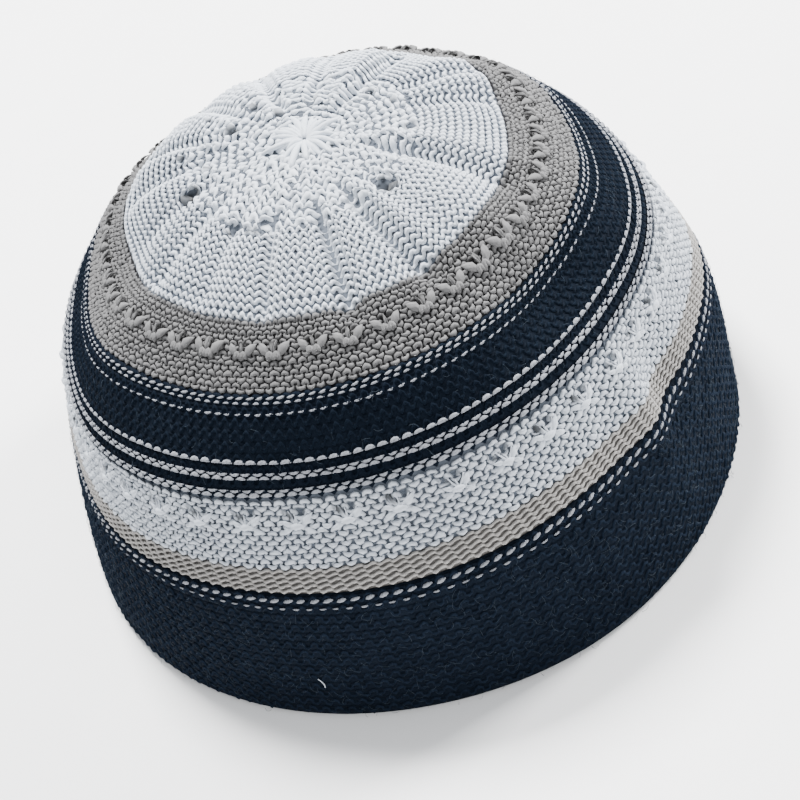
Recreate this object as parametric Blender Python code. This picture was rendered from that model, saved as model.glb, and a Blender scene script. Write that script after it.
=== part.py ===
"""Knitted kufi: a brimless oval cap in bands of white, taupe and navy yarn.

The cap stands on its rim as it would by itself: Z up, the origin in the middle of the rim, +X its
right side and -Y its front. Every ring of the fabric is an oval. A place on the cap is an angle
round it and a station, which is the distance along the fabric down from the crown's centre.
"""
import math

import bpy
import numpy as np

# Driving sizes in metres, outside the knit
LENGTH = 0.199
WIDTH = 0.168
HEIGHT = 0.093
KNIT_WALL = 0.0020
CUFF_PLY = 0.0016
HEM_SLOT = 0.0005
HEM_HEIGHT = 0.036
RIM_ROUND = 0.0010
SEAM_GAP = 0.0003
FOLD_DEPTH = 0.0024
SWELL = 0.0040
CREASE = 0.0018

# Knitting
WALES = 176
WALES_PER_FACET = 2

# Rings of the cap from the crown's centre to the rim: shares of HEIGHT, WIDTH and LENGTH
SECTIONS = (
    # name, height, width, length
    ("centre", 0.980, 0.000, 0.000),
    ("gather", 0.995, 0.085, 0.085),
    ("crown_inner", 1.000, 0.235, 0.240),
    ("crown_middle", 0.974, 0.400, 0.420),
    ("crown_outer", 0.940, 0.500, 0.525),
    ("crown_edge", 0.898, 0.568, 0.598),
    ("butterflies", 0.855, 0.655, 0.680),
    ("taupe_foot", 0.803, 0.732, 0.756),
    ("dash_high", 0.770, 0.768, 0.793),
    ("dash_middle", 0.680, 0.840, 0.860),
    ("dash_low", 0.618, 0.880, 0.895),
    ("white_knots", 0.540, 0.913, 0.930),
    ("stripe_top", 0.450, 0.943, 0.965),
    ("cuff_top", 0.390, 0.960, 0.988),
    ("cuff_high", 0.290, 0.980, 1.000),
    ("cuff_middle", 0.160, 0.995, 1.000),
    ("rim", 0.000, 1.000, 0.995),
)

# Radial folds of the crown: angles in degrees, depth as a share of FOLD_DEPTH, spread in degrees,
# inner and outer ends as shares of the crown's radius, and the raised lip as a share of the depth
FOLDS = (
    # edge_angle, inner_angle, depth, spread, inner_end, outer_end, lip
    (3, 5, 0.60, 4.0, 0.45, 1.05, 0.3),
    (17, 19, 0.65, 4.0, 0.45, 1.05, 0.3),
    (46, 35, 0.95, 4.5, 0.15, 0.95, 0.4),
    (70, 68, 0.60, 4.5, 0.20, 1.00, 0.2),
    (95, 95, 0.65, 4.5, 0.20, 1.00, 0.2),
    (119, 118, 0.60, 4.5, 0.20, 1.00, 0.2),
    (144, 144, 0.80, 4.5, 0.20, 1.00, 0.4),
    (164, 163, 0.50, 4.5, 0.30, 1.00, 0.2),
    (186, 186, 0.40, 4.5, 0.35, 0.95, 0.0),
    (204, 206, 0.60, 4.5, 0.35, 1.05, 0.3),
    (224, 224, 0.35, 4.5, 0.40, 1.00, 0.0),
    (244, 243, 0.50, 4.0, 0.40, 1.05, 0.2),
    (268, 267, 0.75, 3.5, 0.45, 1.10, 0.2),
    (290, 281, 0.90, 3.5, 0.40, 1.10, 0.4),
    (328, 326, 1.20, 4.5, 0.25, 1.12, 0.5),
)

# Broad swells and hollows: depth as a share of SWELL, out is positive, spread in degrees round the
# cap, and spread down it as a share of HEIGHT
SWELLS = (
    # angle, section, depth, spread_round, spread_down
    (110, "dash_high", -1.10, 40, 0.22),
    (168, "dash_high", -0.70, 18, 0.18),
    (186, "crown_edge", -0.50, 12, 0.13),
    (185, "cuff_top", -0.90, 24, 0.35),
    (207, "dash_high", 0.60, 14, 0.22),
    (230, "dash_low", 0.35, 16, 0.18),
    (250, "dash_low", -0.40, 14, 0.13),
    (270, "cuff_top", 0.50, 22, 0.22),
    (290, "rim", 0.50, 25, 0.25),
    (311, "crown_edge", 0.75, 10, 0.13),
    (311, "dash_high", -0.70, 14, 0.13),
    (333, "dash_high", 0.60, 14, 0.15),
    (350, "cuff_top", 0.75, 18, 0.22),
    (17, "crown_edge", 0.80, 13, 0.15),
    (30, "white_knots", 0.45, 18, 0.20),
)

# The standing crease at the cap's front right: depth as a share of CREASE, spreads as above
CREASES = (
    # angle, section, depth, spread_round, spread_down
    (310, "stripe_top", 1.00, 4.5, 0.12),
    (318, "stripe_top", -1.00, 5.5, 0.12),
    (311, "cuff_high", 0.50, 5.0, 0.20),
)

# Knitted bands: the sections that they run between and the rings that model each
BANDS = (
    # name, top, foot, steps, colour, roughness
    ("taupe_band", "crown_edge", "taupe_foot", 3, (0.30, 0.28, 0.265), 0.90),
    ("navy_band", "taupe_foot", "dash_low", 4, (0.010, 0.016, 0.033), 0.92),
    ("white_band", "dash_low", "stripe_top", 3, (0.66, 0.69, 0.73), 0.88),
    ("taupe_stripe", "stripe_top", "cuff_top", 1, (0.40, 0.375, 0.35), 0.90),
)
CROWN_STATIONS = (0.08, 0.18, 0.30, 0.42, 0.54, 0.66, 0.78, 0.89)
CUFF_STEPS = 4
CROWN_COLOUR = (0.66, 0.69, 0.73)
CUFF_COLOUR = (0.010, 0.015, 0.030)
KNIT_ROUGHNESS = 0.90


def section_stations():
    """Distance along the fabric from the crown's centre to each section."""
    stations = [0.0]
    for upper, lower in zip(SECTIONS, SECTIONS[1:]):
        rise = (lower[1] - upper[1]) * HEIGHT
        run = ((lower[2] - upper[2]) * WIDTH + (lower[3] - upper[3]) * LENGTH) / 4
        stations.append(stations[-1] + math.hypot(rise, run))
    return np.array(stations)


STATIONS = section_stations()
STATION = {row[0]: station for row, station in zip(SECTIONS, STATIONS)}
CROWN_RADIUS = STATION["crown_edge"]
RIM = STATION["rim"]


def smooth_curve(values):
    """A smooth curve through one value for each section, as a function of the station."""
    values = np.array(values)
    slopes = np.empty_like(values)
    slopes[1:-1] = (values[2:] - values[:-2]) / (STATIONS[2:] - STATIONS[:-2])
    slopes[0] = (values[1] - values[0]) / (STATIONS[1] - STATIONS[0])
    slopes[-1] = (values[-1] - values[-2]) / (STATIONS[-1] - STATIONS[-2])

    def curve(station):
        k = np.clip(np.searchsorted(STATIONS, station, side="right") - 1, 0, len(STATIONS) - 2)
        step = STATIONS[k + 1] - STATIONS[k]
        t = (station - STATIONS[k]) / step
        return (values[k] * (2 * t**3 - 3 * t**2 + 1) + slopes[k] * step * (t**3 - 2 * t**2 + t)
                + values[k + 1] * (3 * t**2 - 2 * t**3) + slopes[k + 1] * step * (t**3 - t**2))

    return curve


half_width = smooth_curve([row[2] * WIDTH / 2 for row in SECTIONS])
half_length = smooth_curve([row[3] * LENGTH / 2 for row in SECTIONS])
height = smooth_curve([row[1] * HEIGHT for row in SECTIONS])


def turn_between(angle, centre):
    """Signed angle in degrees from a centre line, between -180 and 180."""
    return (angle - centre + 180) % 360 - 180


def fold_relief(angle, station):
    """Depth of the crown's radial folds, in is negative."""
    share = station / CROWN_RADIUS
    relief = 0.0
    for edge_angle, inner_angle, depth, spread, inner_end, outer_end, lip in FOLDS:
        line = inner_angle + (edge_angle - inner_angle) * np.clip(share, 0, 1)
        across = turn_between(angle, line) / spread
        lip_across = across - 1.8
        along = smooth_step((share - inner_end) / 0.25) * smooth_step((outer_end - share) / 0.12)
        section = -np.exp(-across**2) + lip * np.exp(-lip_across**2)
        relief = relief + FOLD_DEPTH * depth * along * section
    return relief


def smooth_step(t):
    t = np.clip(t, 0, 1)
    return t * t * (3 - 2 * t)


def swell_relief(angle, station):
    """Height of the broad swells, hollows and creases, out is positive."""
    relief = 0.0
    for rows, size in ((SWELLS, SWELL), (CREASES, CREASE)):
        for centre, section, depth, spread_round, spread_down in rows:
            across = turn_between(angle, centre) / spread_round
            down = (station - STATION[section]) / (spread_down * HEIGHT)
            relief = relief + size * depth * np.exp(-across**2 - down**2)
    return relief


def smooth_place(angle, station):
    """Point of the plain cap, before its folds and swells."""
    turn = np.radians(angle)
    return np.stack([half_width(station) * np.cos(turn), half_length(station) * np.sin(turn),
                     height(station) + 0 * turn], axis=-1)


def outward(angle, station):
    """Outward direction square to the plain cap, turned level towards the rim."""
    little = CROWN_RADIUS / 100
    upper = smooth_place(angle, np.maximum(station - little, little))
    lower = smooth_place(angle, np.minimum(station + little, RIM))
    across = smooth_place(angle + 1, station) - smooth_place(angle - 1, station)
    normal = np.cross(lower - upper, across)
    normal[..., 2] *= smooth_step((RIM - station) / HEM_HEIGHT)
    return normal / np.linalg.norm(normal, axis=-1, keepdims=True)


def place(angle, station, depth):
    """Point at a depth under the outer face, measured square to the plain cap."""
    relief = fold_relief(angle, station) + swell_relief(angle, station) - depth
    return smooth_place(angle, station) + outward(angle, station) * relief[..., None]


def facet_angles():
    facets = WALES // WALES_PER_FACET
    return np.arange(facets) * 360 / facets


def ring(station, depth):
    """One ring of points round the cap."""
    angles = facet_angles()
    return place(angles, np.full(len(angles), station), depth)


def middle_of_cap():
    """Middle of the cap's plan, which is where its origin goes."""
    rings = np.concatenate([ring(station, 0.0) for station in np.linspace(CROWN_RADIUS, RIM, 40)])
    return np.array([*(rings.min(axis=0) + rings.max(axis=0))[:2] / 2, 0.0])


def new_material(name, colour, roughness):
    material = bpy.data.materials.new(name)
    material.use_nodes = True
    shader = material.node_tree.nodes["Principled BSDF"]
    shader.inputs["Base Color"].default_value = (*colour, 1.0)
    shader.inputs["Roughness"].default_value = roughness
    shader.inputs["Metallic"].default_value = 0.0
    return material


def new_piece(name, points, faces, colour, roughness):
    """An object of the cap, its outer and inner faces smooth and its cut edges sharp."""
    mesh = bpy.data.meshes.new(name)
    mesh.from_pydata([tuple(point) for point in points], [], faces)
    mesh.materials.append(new_material(name + "_yarn", colour, roughness))
    mesh.shade_smooth()
    mesh.set_sharp_from_angle(angle=math.radians(50))
    piece = bpy.data.objects.new(name, mesh)
    bpy.context.scene.collection.objects.link(piece)
    return piece


def band_faces(rows, facets, closed):
    """Quads between neighbouring rings, and from the last ring to the first where closed."""
    faces = []
    last = rows if closed else rows - 1
    for row in range(last):
        below = (row + 1) % rows
        for facet in range(facets):
            beside = (facet + 1) % facets
            faces.append((row * facets + facet, below * facets + facet,
                          below * facets + beside, row * facets + beside))
    return faces


def swept_band(name, outline, middle, colour, roughness):
    """A closed ring of fabric whose cross-section is a loop of stations and depths."""
    points = np.concatenate([ring(station, depth) for station, depth in outline]) - middle
    faces = band_faces(len(outline), len(facet_angles()), closed=True)
    return new_piece(name, points, faces, colour, roughness)


def knit_outline(top, foot, steps, wall):
    """Cross-section of one knitted wall, down its outer face and up its inner face."""
    stations = np.linspace(top + SEAM_GAP / 2, foot - SEAM_GAP / 2, steps + 1)
    return [(s, 0.0) for s in stations] + [(s, wall) for s in stations[::-1]]


def cuff_outline(top):
    """Cross-section of the cuff: the navy knit turned in at the rim and up again as a hem."""
    inner_ply = CUFF_PLY + HEM_SLOT
    whole = inner_ply + CUFF_PLY
    turn = RIM - CUFF_PLY
    start = top + SEAM_GAP / 2
    hem_top = RIM - HEM_HEIGHT
    outside = np.linspace(start, RIM - RIM_ROUND, CUFF_STEPS + 1)
    hem = np.linspace(RIM - RIM_ROUND, hem_top, CUFF_STEPS)
    hem_back = np.linspace(hem_top, turn, CUFF_STEPS)
    ply_back = np.linspace(turn, start, CUFF_STEPS + 1)
    outline = [(s, 0.0) for s in outside]
    outline += [(RIM, RIM_ROUND), (RIM, whole - RIM_ROUND)]
    outline += [(s, whole) for s in hem]
    outline += [(s, inner_ply) for s in hem_back]
    outline += [(s, CUFF_PLY) for s in ply_back]
    return outline


def crown(middle):
    """The gored crown: an outer and an inner dome joined round the crown's edge."""
    facets = len(facet_angles())
    edge = CROWN_RADIUS - SEAM_GAP / 2
    stations = [share * CROWN_RADIUS for share in CROWN_STATIONS] + [edge]
    rows = [ring(s, 0.0) for s in stations] + [ring(s, KNIT_WALL) for s in stations[::-1]]
    top = height(STATION["centre"])
    poles = np.array([(0, 0, top), (0, 0, top - KNIT_WALL)])
    points = np.concatenate(rows + [poles]) - middle
    faces = band_faces(len(rows), facets, closed=False)
    outer_pole = len(rows) * facets
    inner_row = (len(rows) - 1) * facets
    for facet in range(facets):
        beside = (facet + 1) % facets
        faces.append((outer_pole, facet, beside))
        faces.append((outer_pole + 1, inner_row + beside, inner_row + facet))
    return new_piece("crown", points, faces, CROWN_COLOUR, KNIT_ROUGHNESS)


def main():
    for leftover in list(bpy.data.objects):
        bpy.data.objects.remove(leftover)
    middle = middle_of_cap()
    crown(middle)
    for name, top, foot, steps, colour, roughness in BANDS:
        outline = knit_outline(STATION[top], STATION[foot], steps, KNIT_WALL)
        swept_band(name, outline, middle, colour, roughness)
    swept_band("cuff", cuff_outline(STATION["cuff_top"]), middle, CUFF_COLOUR, KNIT_ROUGHNESS)


main()
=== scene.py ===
# %% [markdown]
# # A knitted kufi
# A kufi is a cap without a brim. This one is knitted round and round in one tube: a white crown,
# bands of taupe, navy and white with rows of light dashes, and a deep navy cuff. A smooth cap with a
# picture of stitches on it would look painted from near by, so nearly every cell below makes real
# stitches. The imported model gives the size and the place, and the scene is built round it in metres.

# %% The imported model
import math

import bpy
import numpy as np
from mathutils import Matrix, Vector


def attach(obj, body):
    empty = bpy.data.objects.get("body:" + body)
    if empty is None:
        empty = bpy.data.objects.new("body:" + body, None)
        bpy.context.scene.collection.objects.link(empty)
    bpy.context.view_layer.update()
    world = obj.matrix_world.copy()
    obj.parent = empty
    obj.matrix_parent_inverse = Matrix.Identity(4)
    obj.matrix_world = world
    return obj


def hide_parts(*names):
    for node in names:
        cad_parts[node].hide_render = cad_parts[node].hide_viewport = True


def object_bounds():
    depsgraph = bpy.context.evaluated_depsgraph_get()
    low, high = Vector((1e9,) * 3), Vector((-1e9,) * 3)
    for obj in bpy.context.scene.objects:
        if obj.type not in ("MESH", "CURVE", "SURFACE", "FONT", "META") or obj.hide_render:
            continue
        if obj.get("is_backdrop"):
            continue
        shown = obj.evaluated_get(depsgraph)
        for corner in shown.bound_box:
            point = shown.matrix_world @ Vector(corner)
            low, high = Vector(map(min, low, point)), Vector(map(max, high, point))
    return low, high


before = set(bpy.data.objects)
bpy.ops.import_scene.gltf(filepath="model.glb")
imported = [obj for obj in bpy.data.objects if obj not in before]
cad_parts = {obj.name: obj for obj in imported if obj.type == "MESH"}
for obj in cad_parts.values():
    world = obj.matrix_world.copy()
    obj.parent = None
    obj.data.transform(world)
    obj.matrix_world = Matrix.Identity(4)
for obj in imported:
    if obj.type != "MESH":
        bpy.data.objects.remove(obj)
cad_low, cad_high = (np.array(corner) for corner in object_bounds())
cad_size = cad_high - cad_low
print("nodes:", sorted(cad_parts))
print("box of the model in mm:", np.round(cad_size * 1000, 1))

# %% [markdown]
# ## The cap's own sizes
# The box of the model takes in the cap's soft swells, so the plain oval is a hair wider or narrower
# than the box. These shares turn the one into the other. Knitters count a fabric in wales, the
# columns of stitches, and courses, the rows: this cap has 176 wales all the way round. The form could
# be pulled into shape by hand, but short tables of what was seen are easier to check and correct.

# %% Sizes
WIDTH = 1.0037 * cad_size[0]
LENGTH = 0.9900 * cad_size[1]
HEIGHT = 0.9900 * cad_size[2]
KNIT_WALL = 0.0020
CUFF_PLY = 0.0016
HEM_SLOT = 0.0005
HEM_HEIGHT = 0.036
RIM_ROUND = 0.0010
FOLD_DEPTH = 0.0024
PINCH = 0.40
SWELL = 0.0040
CREASE = 0.0018
WALES = 176
print("the plain oval in mm:", round(WIDTH * 1000, 1), "by", round(LENGTH * 1000, 1))

# %% [markdown]
# ## Tables of the form
# The sections are ovals from the crown's centre down to the rim, as shares of the cap's height, width
# and length. Angles are in degrees, from the cap's right side over its back to its left, so its front
# is at 270. A depth of 1 stands for FOLD_DEPTH, SWELL or CREASE.

# %% Tables
SECTIONS = (
    # name, height, width, length
    ("centre", 0.980, 0.000, 0.000),
    ("gather", 0.995, 0.085, 0.085),
    ("crown_inner", 1.000, 0.235, 0.240),
    ("crown_middle", 0.974, 0.400, 0.420),
    ("crown_outer", 0.940, 0.500, 0.525),
    ("crown_edge", 0.898, 0.568, 0.598),
    ("butterflies", 0.855, 0.655, 0.680),
    ("taupe_foot", 0.803, 0.732, 0.756),
    ("dash_high", 0.770, 0.768, 0.793),
    ("dash_middle", 0.680, 0.840, 0.860),
    ("dash_low", 0.618, 0.880, 0.895),
    ("white_knots", 0.540, 0.913, 0.930),
    ("stripe_top", 0.450, 0.943, 0.965),
    ("cuff_top", 0.390, 0.960, 0.988),
    ("cuff_high", 0.290, 0.980, 1.000),
    ("cuff_middle", 0.160, 0.995, 1.000),
    ("rim", 0.000, 1.000, 0.995),
)
FOLDS = (
    # edge_angle, inner_angle, depth, spread, inner_end, outer_end, lip
    (3, 5, 0.60, 4.0, 0.45, 1.05, 0.3),
    (17, 19, 0.65, 4.0, 0.45, 1.05, 0.3),
    (46, 35, 0.95, 4.5, 0.15, 0.95, 0.4),
    (70, 68, 0.60, 4.5, 0.20, 1.00, 0.2),
    (95, 95, 0.65, 4.5, 0.20, 1.00, 0.2),
    (119, 118, 0.60, 4.5, 0.20, 1.00, 0.2),
    (144, 144, 0.80, 4.5, 0.20, 1.00, 0.4),
    (164, 163, 0.50, 4.5, 0.30, 1.00, 0.2),
    (186, 186, 0.50, 4.5, 0.35, 0.95, 0.1),
    (204, 206, 0.75, 4.5, 0.35, 1.05, 0.3),
    (224, 224, 0.50, 4.5, 0.40, 1.00, 0.1),
    (244, 243, 0.70, 4.0, 0.40, 1.05, 0.3),
    (268, 267, 0.95, 3.5, 0.40, 1.10, 0.3),
    (290, 281, 0.95, 3.8, 0.35, 1.10, 0.5),
    (328, 326, 0.72, 4.5, 0.25, 1.12, 0.6),
)
SWELLS = (
    # angle, section, depth, spread_round, spread_down
    (110, "dash_high", -1.10, 40, 0.22),
    (168, "dash_high", -0.70, 18, 0.18),
    (186, "crown_edge", -0.50, 12, 0.13),
    (185, "cuff_top", -0.90, 24, 0.35),
    (207, "dash_high", 0.60, 14, 0.22),
    (230, "dash_low", 0.35, 16, 0.18),
    (250, "dash_low", -0.40, 14, 0.13),
    (270, "cuff_top", 0.50, 22, 0.22),
    (290, "rim", 0.50, 25, 0.25),
    (311, "crown_edge", 0.75, 10, 0.13),
    (311, "dash_high", -0.70, 14, 0.13),
    (333, "dash_high", 0.60, 14, 0.15),
    (350, "cuff_top", 0.75, 18, 0.22),
    (17, "crown_edge", 0.80, 13, 0.15),
    (30, "white_knots", 0.45, 18, 0.20),
)
CREASES = (
    # angle, section, depth, spread_round, spread_down
    (310, "stripe_top", 1.00, 4.5, 0.12),
    (318, "stripe_top", -1.00, 5.5, 0.12),
    (311, "cuff_high", 0.50, 5.0, 0.20),
)
print("sections, folds, swells and creases:", len(SECTIONS), len(FOLDS), len(SWELLS), len(CREASES))

# %% [markdown]
# ## Stations
# A place on the cap is given by its angle and its station, the distance along the fabric from the
# crown's centre. Heights would do for the sides, but not for the crown, which is nearly level.

# %% Stations


def section_stations():
    """Distance along the fabric from the crown's centre to each section."""
    stations = [0.0]
    for upper, lower in zip(SECTIONS, SECTIONS[1:]):
        rise = (lower[1] - upper[1]) * HEIGHT
        run = ((lower[2] - upper[2]) * WIDTH + (lower[3] - upper[3]) * LENGTH) / 4
        stations.append(stations[-1] + math.hypot(rise, run))
    return np.array(stations)


STATIONS = section_stations()
STATION = {row[0]: station for row, station in zip(SECTIONS, STATIONS)}
CROWN_RADIUS = STATION["crown_edge"]
RIM = STATION["rim"]
print("fabric from the crown's centre to the rim in mm:", round(RIM * 1000, 1))

# %% [markdown]
# ## The form of the cap
# Soft things are easier to describe by what happened to them than by points. The plain cap is a
# stack of ovals, joined by smooth curves. Loose points would have to be moved one by one, while a
# curve through the sections stays smooth whatever a section is changed to.

# %% Curves through the sections


def smooth_step(t):
    t = np.clip(t, 0, 1)
    return t * t * (3 - 2 * t)


def smooth_curve(values):
    """A smooth curve through one value for each section, as a function of the station."""
    values = np.array(values)
    slopes = np.empty_like(values)
    slopes[1:-1] = (values[2:] - values[:-2]) / (STATIONS[2:] - STATIONS[:-2])
    slopes[0] = (values[1] - values[0]) / (STATIONS[1] - STATIONS[0])
    slopes[-1] = (values[-1] - values[-2]) / (STATIONS[-1] - STATIONS[-2])

    def curve(station):
        k = np.clip(np.searchsorted(STATIONS, station, side="right") - 1, 0, len(STATIONS) - 2)
        step = STATIONS[k + 1] - STATIONS[k]
        t = (station - STATIONS[k]) / step
        return (values[k] * (2 * t**3 - 3 * t**2 + 1) + slopes[k] * step * (t**3 - 2 * t**2 + t)
                + values[k + 1] * (3 * t**2 - 2 * t**3) + slopes[k + 1] * step * (t**3 - t**2))

    return curve


half_width = smooth_curve([row[2] * WIDTH / 2 for row in SECTIONS])
half_length = smooth_curve([row[3] * LENGTH / 2 for row in SECTIONS])
height = smooth_curve([row[1] * HEIGHT for row in SECTIONS])
print("half the width at the butterflies in mm:", round(half_width(STATION["butterflies"]) * 1000, 1))

# %% [markdown]
# ## Folds and swells
# The crown's folds run from the gather to its edge, and broad swells and hollows show where it was
# pushed in use. Sculpting could press them in, but here each is one row of a table, added as a smooth
# bump. A fold sinks along its line, sharper still where it is pinched, and has a lip on one side.

# %% Folds and swells
LIP_ASIDE = 1.8
PINCH_WIDTH = 0.5
FADE_IN = 0.25
FADE_OUT = 0.12


def turn_between(angle, centre):
    """Signed angle in degrees from a centre line, between -180 and 180."""
    return (angle - centre + 180) % 360 - 180


def fold_line(fold, station):
    """Angle of a crown fold at a station."""
    share = np.clip(station / CROWN_RADIUS, 0, 1)
    return fold[1] + (fold[0] - fold[1]) * share


def fold_relief(angle, station):
    """Depth of the crown's radial folds, in is negative."""
    share = station / CROWN_RADIUS
    relief = 0.0
    for fold in FOLDS:
        _, _, depth, spread, inner_end, outer_end, lip = fold
        across = turn_between(angle, fold_line(fold, station)) / spread
        along = smooth_step((share - inner_end) / FADE_IN) * smooth_step((outer_end - share) / FADE_OUT)
        pinched = PINCH * np.exp(-(across / PINCH_WIDTH)**2)
        section = -np.exp(-across**2) + lip * np.exp(-(across - LIP_ASIDE)**2) - pinched
        relief = relief + FOLD_DEPTH * depth * along * section
    return relief


def swell_relief(angle, station):
    """Height of the broad swells, hollows and creases, out is positive."""
    relief = 0.0
    for rows, size in ((SWELLS, SWELL), (CREASES, CREASE)):
        for centre, section, depth, spread_round, spread_down in rows:
            across = turn_between(angle, centre) / spread_round
            down = (station - STATION[section]) / (spread_down * HEIGHT)
            relief = relief + size * depth * np.exp(-across**2 - down**2)
    return relief


print("the deepest fold in mm:", round(max(row[2] for row in FOLDS) * (1 + PINCH) * FOLD_DEPTH * 1000, 1))

# %% [markdown]
# ## Points on the cap
# Now any point of the cap's outer face follows from its angle and station: a point on the plain cap,
# moved along the outward direction by the folds and swells. The gather sits a little off the middle.

# %% Points on the cap
GATHER_SHIFT = (0.0016, 0.0022)
GATHER_REACH = 0.030


def smooth_place(angle, station):
    """Point of the plain cap, before its folds and swells."""
    turn = np.radians(angle)
    return np.stack([half_width(station) * np.cos(turn), half_length(station) * np.sin(turn),
                     height(station) + 0 * turn], axis=-1)


def outward(angle, station):
    """Outward direction square to the plain cap, turned level towards the rim."""
    little = CROWN_RADIUS / 100
    upper = smooth_place(angle, np.maximum(station - little, little))
    lower = smooth_place(angle, np.clip(station + little, 2 * little, RIM))
    across = smooth_place(angle + 1, station) - smooth_place(angle - 1, station)
    normal = np.cross(lower - upper, across)
    normal[..., 2] *= smooth_step((RIM - station) / HEM_HEIGHT)
    return normal / np.linalg.norm(normal, axis=-1, keepdims=True)


def place(angle, station):
    """Point of the cap's outer face, its gather a little off the middle."""
    relief = fold_relief(angle, station) + swell_relief(angle, station)
    point = smooth_place(angle, station) + outward(angle, station) * relief[..., None]
    nearness = smooth_step(1 - station / GATHER_REACH)
    point[..., 0] += GATHER_SHIFT[0] * nearness
    point[..., 1] += GATHER_SHIFT[1] * nearness
    return point


def perimeter(station):
    """Distance round the cap at a station."""
    a, b = half_width(station), half_length(station)
    return math.pi * (3 * (a + b) - math.sqrt((3 * a + b) * (a + 3 * b)))


def middle_of_cap():
    """Middle of the cap's plan, which is where the model has its origin."""
    angles, stations = np.meshgrid(np.arange(WALES // 2) * 720 / WALES, np.linspace(CROWN_RADIUS, RIM, 40))
    points = place(angles, stations).reshape(-1, 3)
    return np.array([*(points.min(axis=0) + points.max(axis=0))[:2] / 2, 0.0])


MIDDLE = middle_of_cap()
print("distance round the rim in mm:", round(perimeter(RIM) * 1000, 1))
print("middle of the plan in mm:", np.round(MIDDLE * 1000, 2))

# %% [markdown]
# ## Shares of the way round
# Equal stitches lie at equal distances round the oval, not at equal angles, so a table of distances
# turns a share of the way round into an angle and back.

# %% Shares and angles


def arc_tables():
    """Angles in degrees, and the share of the way round the oval at each."""
    angles = np.linspace(0, 360, 721)
    turn = np.radians(angles)
    speed = np.hypot(WIDTH * np.sin(turn), LENGTH * np.cos(turn))
    shares = np.concatenate([[0.0], np.cumsum(speed[1:] + speed[:-1])])
    return angles, shares / shares[-1]


ANGLES, SHARES = arc_tables()


def share_at(angle):
    """The share of the way round at an angle."""
    return np.interp(np.mod(angle, 360), ANGLES, SHARES)


def angle_at(share):
    """The angle at a share of the way round."""
    return np.interp(np.mod(share, 1), SHARES, ANGLES)


print("share of the way round at 45 degrees:", round(float(share_at(45)), 4))

# %% [markdown]
# ## A flat chart that wraps round the cap
# A knitter works from a flat chart, and so does this file. On the chart X is the way round the cap
# and Y the way up the fabric from the rim, both from 0 to 1, and Z is the height over the fabric in
# metres. Every piece is drawn flat there. Then Geometry Nodes look up each point's place on a sheet
# that has the cap's form and the chart as its UV map. So a stitch never needs to know about folds.

# %% Cap sheet
SHEET_COLUMNS = 528
SHEET_ROWS = 280
BESIDE = 0.3


def new_object(name, points, faces):
    mesh = bpy.data.meshes.new(name)
    mesh.from_pydata([tuple(point) for point in points], [], faces)
    mesh.update()
    made = bpy.data.objects.new(name, mesh)
    bpy.context.scene.collection.objects.link(made)
    return made


def grid_faces(columns, rows, closed=False):
    """Quads of a grid of points that runs right and then up, closed across its sides if asked."""
    faces = []
    across = columns if closed else columns - 1
    for row in range(rows - 1):
        for column in range(across):
            beside = (column + 1) % columns
            faces.append((row * columns + column, row * columns + beside,
                          (row + 1) * columns + beside, (row + 1) * columns + column))
    return faces


def set_uv(mesh, name, uv_of_vertex):
    """A UV map with one place for each vertex."""
    layer = mesh.uv_layers.new(name=name)
    corners = np.empty(len(mesh.loops), int)
    mesh.loops.foreach_get("vertex_index", corners)
    layer.data.foreach_set("uv", np.asarray(uv_of_vertex, np.float32)[corners].ravel())


def cap_sheet():
    """The cap's outer face as one sheet, with the chart as its UV map and its facing stored."""
    across, up = np.meshgrid(np.linspace(0, 1, SHEET_COLUMNS + 1), np.linspace(0, 1, SHEET_ROWS + 1))
    angles, stations = angle_at(across), RIM * (1 - up)
    points = place(angles, stations)
    round_way = place(angles + BESIDE, stations) - place(angles - BESIDE, stations)
    step = RIM / 1000
    low, high = np.minimum(stations + step, RIM), np.maximum(stations - step, 2 * step)
    up_way = place(angles, np.minimum(high, low - step)) - place(angles, low)
    facing = np.cross(round_way, up_way)
    facing[..., 2] *= smooth_step((RIM - stations) / HEM_HEIGHT)
    facing[-1] = (0, 0, 1)
    facing /= np.linalg.norm(facing, axis=-1, keepdims=True)
    faces = grid_faces(SHEET_COLUMNS + 1, SHEET_ROWS + 1)
    sheet = new_object("cap_sheet", (points - MIDDLE).reshape(-1, 3), faces)
    set_uv(sheet.data, "chart", np.stack([across.ravel(), up.ravel()], axis=1))
    attribute = sheet.data.attributes.new("facing", "FLOAT_VECTOR", "POINT")
    attribute.data.foreach_set("vector", facing.astype(np.float32).ravel())
    return sheet


CAP = cap_sheet()
print("cap sheet:", len(CAP.data.polygons), "faces")

# %% [markdown]
# ## Eyelets
# The lacy part of the crown has small round holes, and more lie beside the butterflies. Cutting them
# out would leave cut yarn. In the real knit the yarn goes round a hole, so here each hole is a point
# with a radius, and the wrap pushes the yarn out of it. The large ones are where they are seen on the
# real cap, and some smaller gaps are strewn between them.

# %% Eyelets
MM = 0.001
CROWN_COURSE = 0.00195
LACE_COURSE = 0.00240
LACE_EDGE = CROWN_RADIUS - 12 * CROWN_COURSE
BUTTERFLIES = WALES // 4
BUTTERFLY_START = 0.57
TAUPE_KNOTS = 0.0640
WHITE_KNOTS = 0.1016

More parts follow.
